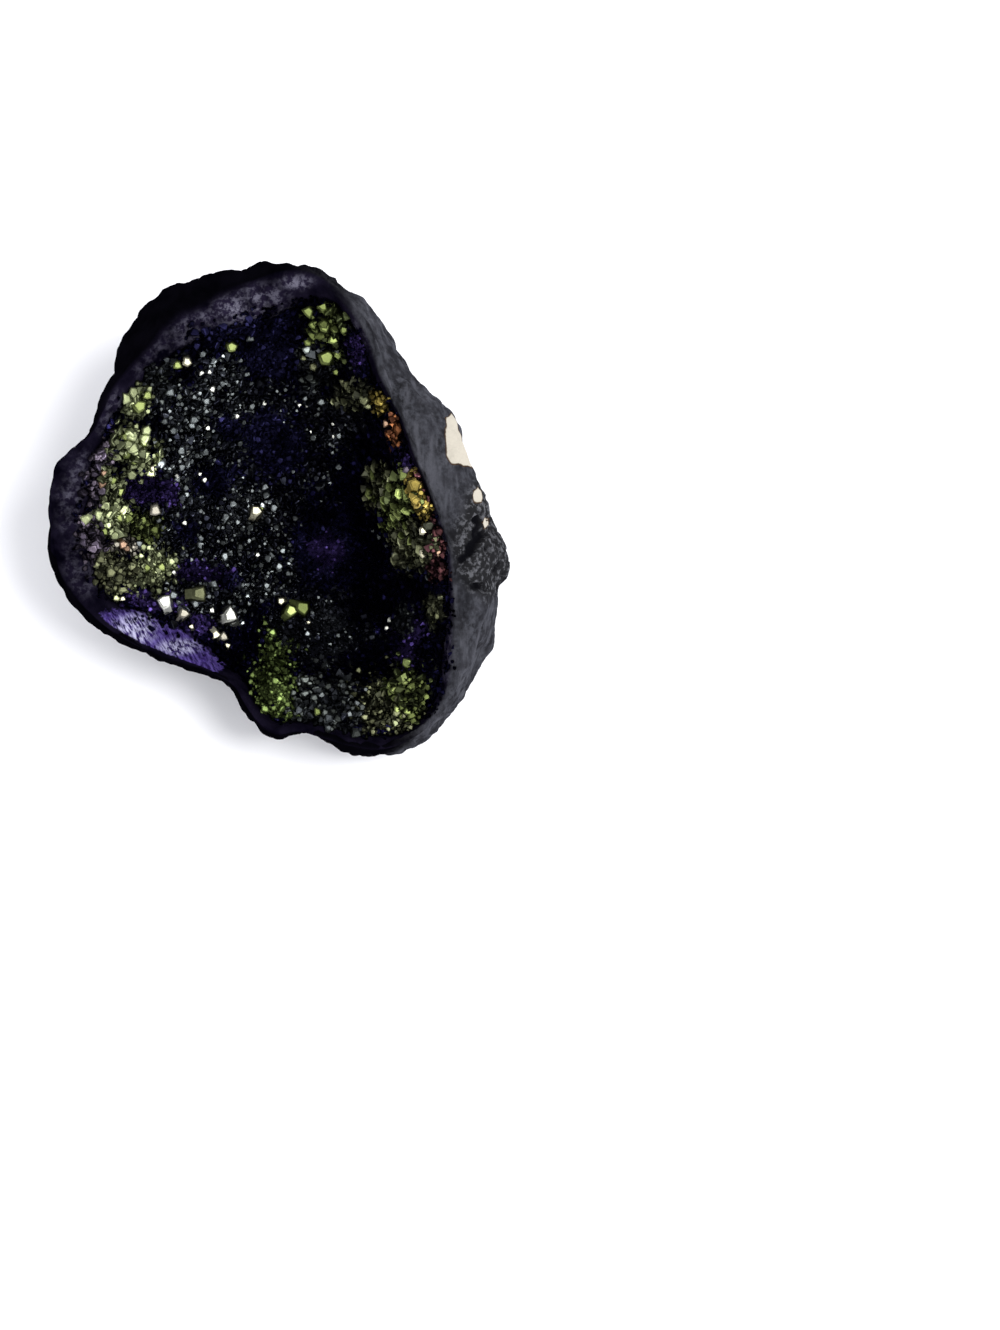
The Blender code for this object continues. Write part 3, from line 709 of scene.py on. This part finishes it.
# The film's colours, each with the crystals' roughness and the share of the colour that is left on those that
# face elsewhere. That share is painted shade: crystals that do not face the lamp are darkened towards navy
FILMS = {
    "navy": (0.0019, 0.0017, 0.0075, 0.42, 1.0),
    "dusk": (0.0070, 0.0066, 0.0220, 0.46, 1.0),
    "pale": (0.066, 0.073, 0.074, 0.33, 0.20),
    "grey": (0.044, 0.049, 0.046, 0.42, 0.40),
    "ash": (0.190, 0.178, 0.145, 0.42, 0.52),
    "green": (0.092, 0.112, 0.036, 0.40, 0.50),
    "khaki": (0.185, 0.205, 0.110, 0.42, 0.68),
    "lime": (0.165, 0.195, 0.068, 0.38, 0.50),
    "olive": (0.080, 0.084, 0.046, 0.42, 0.52),
    "gold": (0.210, 0.160, 0.040, 0.40, 0.50),
    "rust": (0.160, 0.062, 0.026, 0.42, 0.45),
    "peach": (0.200, 0.130, 0.088, 0.40, 0.50),
    "red": (0.070, 0.028, 0.030, 0.46, 0.60),
    "violet": (0.028, 0.018, 0.074, 0.48, 0.70),
    "mauve": (0.080, 0.066, 0.086, 0.44, 0.50),
    "moss": (0.066, 0.090, 0.028, 0.46, 0.95),
    "cream": (0.330, 0.315, 0.230, 0.36, 0.50),
    "white": (0.450, 0.455, 0.410, 0.34, 0.50),
}
# Patches of the druse: u, v, half width, half height, film, size of the crystals, share that faces the light
PATCHES = (
    (-9.0, 14.0, 15.0, 12.0, "pale", 0.98, 0.22),
    (-12.0, 0.0, 14.0, 11.0, "pale", 0.98, 0.22),
    (-5.0, -8.0, 7.0, 7.0, "pale", 1.00, 0.34),
    (-10.0, 16.5, 6.5, 4.5, "pale", 1.06, 0.34),
    (-17.0, 9.0, 5.0, 9.0, "pale", 1.06, 0.32),
    (-13.0, -12.5, 9.0, 6.0, "pale", 1.12, 0.34),
    (6.0, -19.0, 8.0, 6.0, "pale", 0.80, 0.06),
    (7.5, -31.4, 8.5, 4.6, "grey", 1.2, 0.32),
    (7.5, 16.0, 5.0, 5.0, "pale", 1.00, 0.10),
    (-7.0, 31.0, 9.0, 3.0, "dusk", 1.0, 0.12),
    (-21.0, 24.0, 4.0, 5.0, "grey", 1.0, 0.30),
    (-30.0, 8.0, 3.0, 7.0, "mauve", 1.1, 0.45),
    (-31.0, -4.0, 3.0, 7.0, "mauve", 1.1, 0.40),
    (0.0, 27.0, 6.0, 5.0, "dusk", 0.8, 0.03),
    (-2.0, 11.5, 5.5, 5.5, "dusk", 0.8, 0.06),
    (-9.2, 14.6, 2.6, 2.0, "dusk", 0.8, 0.06),
    (-11.0, 6.0, 3.4, 2.6, "dusk", 0.8, 0.06),
    (-24.5, 15.2, 1.6, 1.4, "dusk", 0.8, 0.06),
    (-15.8, -2.6, 2.4, 1.8, "dusk", 0.8, 0.06),
    (-9.0, -10.5, 2.4, 1.6, "dusk", 0.8, 0.06),
    (7.5, -5.8, 4.5, 4.5, "dusk", 0.7, 0.10),
    (7.5, -5.8, 2.5, 2.5, "violet", 0.6, 0.10),
    (-19.8, 3.6, 2.8, 2.6, "violet", 0.8, 0.30),
    (-24.6, 3.8, 3.6, 2.8, "violet", 0.8, 0.30),
    (-14.5, -9.8, 4.5, 2.0, "violet", 0.7, 0.35),
    (-24.0, -13.6, 2.6, 1.6, "violet", 0.7, 0.30),
    (-19.6, -14.4, 3.4, 1.6, "violet", 0.7, 0.25),
    (-14.0, -18.6, 3.0, 1.8, "violet", 0.7, 0.15),
    (21.5, -19.0, 2.5, 3.0, "violet", 0.6, 0.10),
    (20.5, -24.5, 2.5, 2.5, "violet", 0.6, 0.12),
    (13.5, 28.6, 2.4, 3.5, "violet", 0.7, 0.06),
    (21.2, 9.0, 1.6, 2.2, "violet", 0.7, 0.30),
    (-24.6, 10.8, 3.6, 3.8, "khaki", 1.45, 0.50),
    (-24.0, 18.4, 1.9, 2.6, "khaki", 1.4, 0.45),
    (-28.2, 5.4, 1.9, 2.8, "khaki", 1.3, 0.45),
    (-28.0, -1.0, 3.0, 3.2, "khaki", 1.4, 0.50),
    (-22.6, -1.8, 2.6, 2.8, "green", 1.3, 0.45),
    (-22.0, -9.4, 4.4, 3.4, "khaki", 0.9, 0.50),
    (-28.0, -9.5, 2.8, 4.2, "olive", 1.1, 0.55),
    (-26.0, -5.2, 2.2, 1.6, "ash", 1.0, 0.35),
    (7.2, 31.5, 3.0, 3.4, "green", 1.3, 0.40),
    (8.2, 26.4, 2.4, 2.2, "green", 1.3, 0.40),
    (6.0, 25.0, 3.5, 3.2, "grey", 1.2, 0.30),
    (12.0, 19.5, 3.8, 2.0, "olive", 1.2, 0.40),
    (16.4, 18.6, 1.7, 1.8, "gold", 1.1, 0.40),
    (18.7, 13.4, 1.5, 3.2, "rust", 1.1, 0.40),
    (24.0, 4.0, 2.0, 6.5, "red", 0.9, 0.40),
    (26.0, -4.5, 2.4, 6.0, "red", 1.0, 0.50),
    (22.0, 3.4, 2.2, 3.2, "gold", 1.3, 0.50),
    (23.8, 0.6, 1.7, 2.2, "gold", 1.2, 0.45),
    (16.6, 4.6, 2.2, 3.8, "olive", 1.3, 0.45),
    (19.4, 1.5, 2.8, 4.4, "green", 1.3, 0.42),
    (22.0, -5.0, 3.0, 4.2, "olive", 1.3, 0.45),
    (18.5, -31.0, 6.0, 5.6, "olive", 0.9, 0.30),
    (20.6, -30.2, 3.8, 4.4, "green", 1.35, 0.45),
    (17.5, -33.5, 3.0, 2.8, "olive", 1.1, 0.50),
    (25.4, -15.7, 1.4, 2.8, "olive", 1.0, 0.25),
    (20.5, -18.0, 1.6, 2.6, "grey", 0.8, 0.25),
    (-1.5, -28.4, 3.6, 6.4, "moss", 0.9, 0.45),
)
# Single larger crystals that face the light: u, v, radius, film
SINGLES = (
    (4.6, 33.8, 1.0, "green"), (6.9, 33.8, 0.9, "green"), (7.4, 31.4, 1.0, "green"),
    (8.5, 29.4, 0.9, "green"), (10.7, 30.5, 0.7, "green"), (5.3, 31.6, 0.7, "green"),
    (7.9, 26.4, 1.4, "green"), (4.6, 28.9, 0.8, "green"), (5.6, 24.8, 0.8, "olive"),
    (10.4, 22.0, 0.7, "olive"), (9.2, 23.8, 0.6, "green"), (3.6, 26.2, 0.6, "olive"),
    (10.6, 20.4, 0.6, "olive"), (12.6, 19.6, 0.6, "olive"), (14.4, 18.2, 0.6, "olive"),
    (16.2, 18.9, 0.7, "gold"), (17.1, 17.3, 0.5, "gold"), (17.6, 15.0, 0.7, "peach"),
    (19.0, 13.6, 0.9, "rust"), (19.5, 11.8, 0.7, "rust"), (21.9, 4.4, 1.0, "gold"),
    (22.4, 2.4, 0.8, "gold"), (23.7, 1.0, 0.9, "gold"), (21.0, 7.0, 0.7, "mauve"), (25.5, -2.8, 0.5, "red"),
    (26.4, -6.4, 0.6, "peach"), (15.7, 6.6, 1.0, "green"), (15.2, 3.4, 1.1, "lime"),
    (18.4, 4.5, 0.9, "green"), (19.6, 0.2, 1.0, "lime"), (17.4, 1.4, 0.9, "green"),
    (21.0, -1.8, 0.9, "green"), (21.8, -4.6, 0.9, "lime"), (23.9, -2.9, 0.9, "cream"),
    (23.8, -6.4, 0.8, "cream"), (20.4, -3.4, 0.8, "green"), (15.3, -2.5, 0.45, "pale"),
    (16.4, -3.7, 0.5, "pale"), (17.6, -5.2, 0.4, "pale"), (18.8, -6.6, 0.45, "pale"),
    (20.2, -8.0, 0.4, "pale"), (21.5, -9.0, 0.5, "pale"), (24.4, -10.5, 0.5, "pale"),
    (18.2, -17.7, 0.55, "white"), (17.7, -19.0, 0.45, "white"), (25.6, -15.7, 0.5, "olive"),
    (19.0, -29.7, 0.8, "lime"), (20.6, -28.4, 0.6, "lime"), (23.6, -30.5, 0.7, "green"),
    (19.5, -32.3, 0.6, "lime"), (19.2, -34.6, 0.7, "khaki"), (16.6, -33.1, 0.6, "olive"),
    (21.6, -31.2, 0.5, "green"), (6.9, -30.4, 0.7, "pale"), (10.7, -31.0, 0.6, "pale"),
    (12.4, -31.7, 0.6, "pale"), (11.0, -33.3, 0.6, "pale"), (6.2, -32.8, 0.7, "green"),
    (9.0, -34.6, 0.5, "pale"), (14.2, -29.4, 0.5, "pale"), (-24.3, 18.2, 1.2, "lime"),
    (-22.3, 20.1, 0.9, "lime"), (-17.4, 25.0, 0.8, "lime"), (-15.8, 25.8, 0.9, "cream"),
    (-8.7, 28.2, 1.0, "lime"), (-5.3, 29.5, 0.8, "pale"), (-18.5, 20.6, 0.9, "pale"),
    (-13.4, 23.6, 0.5, "white"), (-12.0, 23.9, 0.5, "white"), (-11.4, 21.0, 0.6, "white"),
    (-7.6, 16.5, 0.5, "white"), (-3.0, 18.6, 0.45, "white"), (-12.2, 14.5, 0.45, "white"),
    (-15.7, 10.4, 0.45, "white"), (-13.7, 6.7, 0.4, "white"), (-13.0, 5.8, 0.45, "white"),
    (-17.7, 6.1, 0.5, "white"), (-23.4, 11.9, 0.8, "lime"), (-26.0, 10.2, 0.8, "green"),
    (-24.4, 9.2, 0.7, "green"), (-21.9, 7.4, 0.7, "cream"), (-26.4, 12.8, 0.6, "lime"),
    (-30.0, 5.3, 0.8, "peach"), (-29.8, 7.0, 0.6, "peach"), (-28.2, 5.8, 0.7, "green"),
    (-27.2, 3.8, 0.8, "lime"), (-21.2, 1.0, 1.1, "ash"), (-27.4, -0.8, 0.8, "lime"),
    (-29.8, -3.0, 0.7, "green"), (-28.6, -1.9, 0.6, "olive"), (-26.6, -4.6, 0.8, "peach"),
    (-26.0, -5.9, 0.6, "peach"), (-22.6, -9.2, 0.7, "green"), (-20.4, -8.9, 0.8, "lime"),
    (-19.2, -11.4, 0.5, "pale"), (-28.0, -10.0, 0.6, "pale"), (-26.4, -13.8, 0.5, "cream"),
    (-9.4, -17.2, 1.5, "white"), (-8.0, -17.8, 1.2, "white"), (-19.2, -15.2, 1.3, "white"),
    (-16.6, -17.0, 1.0, "ash"), (-11.9, -16.0, 0.6, "white"), (-11.2, -19.6, 0.9, "cream"),
    (-10.0, -20.5, 0.8, "ash"), (-9.0, -22.0, 0.5, "cream"), (-14.9, -18.9, 0.5, "cream"),
    (-14.5, -13.3, 1.5, "olive"), (-17.7, -9.9, 0.5, "white"), (-4.6, -0.2, 1.1, "cream"),
    (-3.6, 0.6, 0.6, "lime"), (2.6, -15.4, 1.5, "green"), (1.0, -16.6, 1.2, "lime"),
    (0.3, -14.3, 0.7, "cream"), (-16.0, -1.2, 0.5, "white"), (-13.7, 0.5, 0.5, "pale"),
    (8.7, 15.2, 0.4, "white"), (8.9, 13.0, 0.45, "white"), (2.8, 18.2, 0.4, "white"),
    (4.1, 18.2, 0.4, "white"), (4.6, 13.7, 0.35, "white"), (4.6, -18.2, 0.4, "cream"),
    (-4.0, -6.5, 0.45, "white"),
)


def as_seen(u, v, w):
    """Where the camera sees face-on points, against the level of its aim.

    A point is drawn in towards the aim by the aim level's distance from the camera over its own.
    """
    drawn_in = CAMERA_DISTANCE / (CAMERA_DISTANCE + AIM[2] - w)
    return AIM[0] + (u - AIM[0]) * drawn_in, AIM[1] + (v - AIM[1]) * drawn_in


def wall_height(u, v):
    """Height w of the crystals' roots: the cavity's, and past the mouth a bulging slope up to the crest."""
    degrees, distance = bearings(u, v)
    mouth = ring_radius(MOUTH, degrees)
    past = np.clip((distance - mouth) / (ring_radius(CREST, degrees) - mouth), 0, 1)
    return cavity_height(u, v) + past * round_curve(MOUTH_DROP, degrees) + 0.4 * np.sin(math.pi * past)


def place_on_wall(u, v):
    """Points of the wall at (u, v), and its unit normals, both in the resting frame."""
    step = 0.3
    slope_u = (wall_height(u + step, v) - wall_height(u - step, v)) / (2 * step)
    slope_v = (wall_height(u, v + step) - wall_height(u, v - step)) / (2 * step)
    normal = np.column_stack([-slope_u, -slope_v, np.ones_like(u)])
    normal /= np.linalg.norm(normal, axis=1, keepdims=True)
    # laid_back takes the seat off again, so that the normals are only turned
    turned = laid_back(normal + SEAT)
    return laid_back(np.column_stack([u, v, wall_height(u, v)])), turned


def seen_on_wall(u, v):
    """The places on the wall that the camera sees at (u, v) of its aim's level, in three corrections."""
    at_u, at_v = u, v
    for _ in range(3):
        seen_u, seen_v = as_seen(at_u, at_v, wall_height(at_u, at_v))
        at_u = at_u + u - seen_u
        at_v = at_v + v - seen_v
    return at_u, at_v


def unit(vectors):
    """The vectors at length 1."""
    return vectors / (np.linalg.norm(vectors, axis=1, keepdims=True) + 1e-12)


def six_sided_points(roots, normals, radius, neck, facing, wobble, random):
    """Points and faces of quartz points that stand on roots.

    Each is a six-sided column of the given radius round a leaning axis, with a tip. Its open foot is sunk
    into the wall. One large face slopes from a side of the column up to the tip and takes in the corners on
    both flanks, and three small ones close the back. The middle of the large face is raised a little, with a
    bevel all round it. Where facing is true the large face looks halfway between the lamp and the open face,
    within a random wobble, and elsewhere it looks anywhere.
    """
    count = len(roots)
    wander = unit(random.normal(size=(count, 3)))
    leaning = unit(normals + 0.35 * FACE_OUT + 0.42 * wander)
    aim = unit(HALFWAY + wobble * random.normal(size=(count, 3)))
    across = unit(leaning - (leaning * aim).sum(axis=1, keepdims=True) * aim)
    lit_axis = math.cos(FACE_SLOPE) * aim + math.sin(FACE_SLOPE) * across
    axis = np.where(facing[:, None], lit_axis, leaning)
    guide = np.where(facing[:, None], aim, unit(random.normal(size=(count, 3))))
    first = unit(guide - (guide * axis).sum(axis=1, keepdims=True) * axis)
    second = np.cross(axis, first)
    turn = np.radians(30 + 60 * np.arange(6))
    spread = radius[:, None] * random.uniform(0.85, 1.15, (count, 6))
    along_first = (spread * np.cos(turn))[:, :, None] * first[:, None]
    along_second = (spread * np.sin(turn))[:, :, None] * second[:, None]
    ring = along_first + along_second
    shift = random.uniform(0.0, 0.4, count) * radius
    edge = math.cos(math.pi / 6) * radius
    on_face = neck[:, None] + (edge[:, None] - spread * np.cos(turn)) * math.tan(FACE_SLOPE)
    level = np.where(np.isin(np.arange(6), (2, 3)), neck[:, None], on_face)
    tip = roots + axis * (neck + (edge + shift) * math.tan(FACE_SLOPE))[:, None] - first * shift[:, None]
    low = roots[:, None] + ring - (0.6 * radius)[:, None, None] * axis[:, None]
    high = roots[:, None] + ring + level[:, :, None] * axis[:, None]
    large = np.concatenate([high[:, [5, 0, 1]], tip[:, None], high[:, [4]]], axis=1)
    middle = large.mean(axis=1, keepdims=True)
    outward = math.cos(FACE_SLOPE) * axis + math.sin(FACE_SLOPE) * first
    raised = middle + 0.60 * (large - middle) + (0.14 * radius)[:, None, None] * outward[:, None]
    points = np.concatenate([low, high, tip[:, None], raised], axis=1)
    # Points 0 to 5 are the foot, 6 to 11 the column's top, 12 is the tip and 13 to 17 are the raised middle
    k = np.arange(6)
    after = (k + 1) % 6
    sides = np.column_stack([k, after, after + 6, k + 6])
    back = np.array([(7, 8, 12), (8, 9, 12), (9, 10, 12)])
    slopes = np.array([(11, 6, 14, 13), (6, 7, 15, 14), (7, 12, 16, 15), (12, 10, 17, 16), (10, 11, 13, 17)])
    large = np.array([(13, 14, 15, 16, 17)])
    start = CORNERS * np.arange(count)[:, None, None]
    faces = [(start + part).reshape(-1, part.shape[1]).tolist() for part in (sides, back, slopes, large)]
    soft = np.repeat((False, False, True, False), [len(part) for part in faces])
    return points.reshape(-1, 3), faces[0] + faces[1] + faces[2] + faces[3], soft


def film_of(u, v, random):
    """Film, crystal size and share facing the light at (u, v).

    They are those of the last patch whose ellipse, with a ragged edge, holds the place as the camera sees it.
    """
    u, v = as_seen(u, v, wall_height(u, v))
    flat = np.column_stack([u, v, 0 * u])
    ragged = 0.35 * lattice_noise(flat, 2.5, 60) + 0.25 * random.normal(size=len(u))
    film = np.tile(FILMS["navy"], (len(u), 1))
    size = np.full(len(u), BARE_SIZE)
    share = np.full(len(u), BARE_SHARE)
    for u0, v0, half_u, half_v, name, patch_size, patch_share in PATCHES:
        inside = np.hypot((u - u0) / half_u, (v - v0) / half_v) + ragged < 1
        film[inside] = FILMS[name]
        size[inside] = patch_size
        share[inside] = patch_share
    film[:, :3] *= np.exp(CLUMPING * lattice_noise(flat, CLUMP_SIZE, 61))[:, None]
    return film, size, share


def shaded_off_lamp(film, facing):
    """The films, with painted shade on those of crystals that face away from the lamp, darkened towards the
    navy of the bare crust.
    """
    unshaded_share = np.where(facing, 1.0, film[:, 4])[:, None]
    film[:, :3] = unshaded_share * film[:, :3] + (1 - unshaded_share) * np.array(FILMS["navy"][:3])
    return film


def jittered_lattice(spacing, random):
    """Points of a jittered triangular lattice inside the crust's edge, and ever fewer up the broken edge.

    They climb higher on the right, where the crest is sharp.
    """
    reach = int(75 / spacing)
    i, j = (k.ravel() for k in np.meshgrid(np.arange(-reach, reach), np.arange(-reach, reach)))
    u = HUB[0] + spacing * (i + 0.5 * j + random.uniform(-0.4, 0.4, i.shape))
    v = HUB[1] + spacing * (math.sqrt(0.75) * j + random.uniform(-0.4, 0.4, i.shape))
    degrees, distance = bearings(u, v)
    on_right = (degrees < 70) | (degrees > 300)
    mouth = ring_radius(MOUTH, degrees)
    past = (distance - mouth + LIP) / (ring_radius(CREST, degrees) - mouth)
    ragged = 0.25 * lattice_noise(np.column_stack([u, v, 0 * u]), 3.0, 62)
    limit = np.where(on_right, 0.95, 0.6)
    thinning = random.uniform(size=u.shape) ** np.where(on_right, 0.7, 1.5)
    keep = past + ragged * (past > 0) < limit * thinning
    return u[keep], v[keep]


random = np.random.default_rng(11)
degrees = np.arange(GROUND_COLUMNS) * 360.0 / GROUND_COLUMNS
top = cavity_rows(np.linspace(0.02, 1.0, GROUND_ROWS), degrees, below=0.0)
under = cavity_rows(np.linspace(1.0, 0.04, LINING_ROWS), degrees, below=GROUND_THICKNESS)
rows = np.array(top + under)
rough = lumpy_grid(rows, ((1.6, 0.22), (0.8, 0.18)), seed=70)
rough[GROUND_ROWS:] = 0
rows = rows + surface_normals(rows) * rough[:, :, None]
at_hub = cavity_height(np.array([HUB[0]]), np.array([HUB[1]]))[0]
poles = laid_back([(HUB[0], HUB[1], at_hub - depth) for depth in (0, GROUND_THICKNESS)])
ground = np.concatenate([rows.reshape(-1, 3), poles])
ground_faces = ring_faces(len(rows), GROUND_COLUMNS)
at_u, at_v, _ = face_on(ground)
ground_film, _, _ = film_of(at_u, at_v, random)
# Painted shade on the ground between the crystals: its film is darkened as for crystals facing away from the
# lamp, then darker still
ground_film = shaded_off_lamp(ground_film, np.full(len(ground), False))
ground_film = np.column_stack([0.6 * ground_film[:, :3], np.full(len(ground), 0.55)])


def film_values(film, spread, random):
    """The films of crystals, each made brighter or darker by chance and repeated for all of its points."""
    strength = np.exp(spread * random.normal(size=len(film)) - 0.1)
    return np.repeat(np.column_stack([film[:, :3] * strength[:, None], film[:, 3]]), CORNERS, axis=0)


def scattered(spacing, smallest, largest, chance, side, random):
    """Points, faces, films and soft faces of crystals strewn over the crust.

    They lie left of the hub where side is -1, right of it where side is 1, and all over where it is 0. The
    larger a crystal is, the thicker is its film.
    """
    u, v = jittered_lattice(spacing, random)
    picked = (random.uniform(size=len(u)) < chance) & (side * (u - HUB[0]) >= 0)
    u, v = u[picked], v[picked]
    film, size, share = film_of(u, v, random)
    radius = size * random.uniform(smallest, largest, len(u))
    roots, normals = place_on_wall(u, v)
    facing = random.uniform(size=len(u)) < share
    crystals, faces, soft = six_sided_points(roots, normals, radius, 0.3 * radius, facing, 0.15, random)
    # Painted shade: the crystals that do not face the lamp get a darker film
    film = shaded_off_lamp(film, facing)
    film[:, :3] *= (radius / (0.5 * size))[:, None] ** 1.6
    return crystals, faces, film_values(film, 0.55, random), soft


def joined(parts):
    """One set of points, faces, films and soft faces from several."""
    starts = np.cumsum([0] + [len(part[0]) for part in parts])
    faces = [[corner + start for corner in face] for start, part in zip(starts, parts) for face in part[1]]
    points, films, soft = (np.concatenate([part[k] for part in parts]) for k in (0, 2, 3))
    return points, faces, films, soft


crystal_quartz, tree, shader = new_material("coated_crystal")
stored = attribute(tree, "film")
grain = add_node(tree, "ShaderNodeGroup", [], node_tree=stone_grain)
grain.inputs["Scale"].default_value = 500.0
grain.inputs["Relief"].default_value = 0.08
cloud = ranged(tree, grain.outputs["Blotch"], 0.3, 0.7)
thin = mixed(tree, 0.4, stored.outputs["Color"], (0, 0, 0, 1))
colour = mixed(tree, cloud, thin, stored.outputs["Color"])
tree.links.new(colour, shader.inputs["Base Color"])
tree.links.new(stored.outputs["Alpha"], shader.inputs["Roughness"])
tree.links.new(grain.outputs["Normal"], shader.inputs["Normal"])
shader.inputs["Metallic"].default_value = 1.0

singles = np.array([(u, v, radius) for u, v, radius, name in SINGLES])
film = np.array([FILMS[name] for u, v, radius, name in SINGLES])
roots, normals = place_on_wall(*seen_on_wall(singles[:, 0], singles[:, 1]))
radius = singles[:, 2]
facing = np.full(len(singles), True)
crystals, faces, soft = six_sided_points(roots, normals, radius, 0.4 * radius, facing, 0.05, random)
large = crystals, faces, film_values(film, 0.20, random), soft
base = ground, ground_faces, ground_film, np.full(len(ground_faces), False)

for name, parts in (
    ("crystal_skin_left", [base, scattered(0.62, 0.26, 0.44, 1.0, -1, random)]),
    ("crystal_skin_right", [scattered(0.62, 0.26, 0.44, 1.0, 1, random)]),
    ("crystal_points", [scattered(1.25, 0.42, 0.75, 0.75, 0, random), large]),
):
    points, faces, films, soft = joined(parts)
    crust = new_piece(name, points, faces, crystal_quartz, smooth=False)
    crust.data.polygons.foreach_set("use_smooth", soft)
    set_values(crust, "film", films)
    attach(crust, "root")
    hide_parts("crystal_crust")
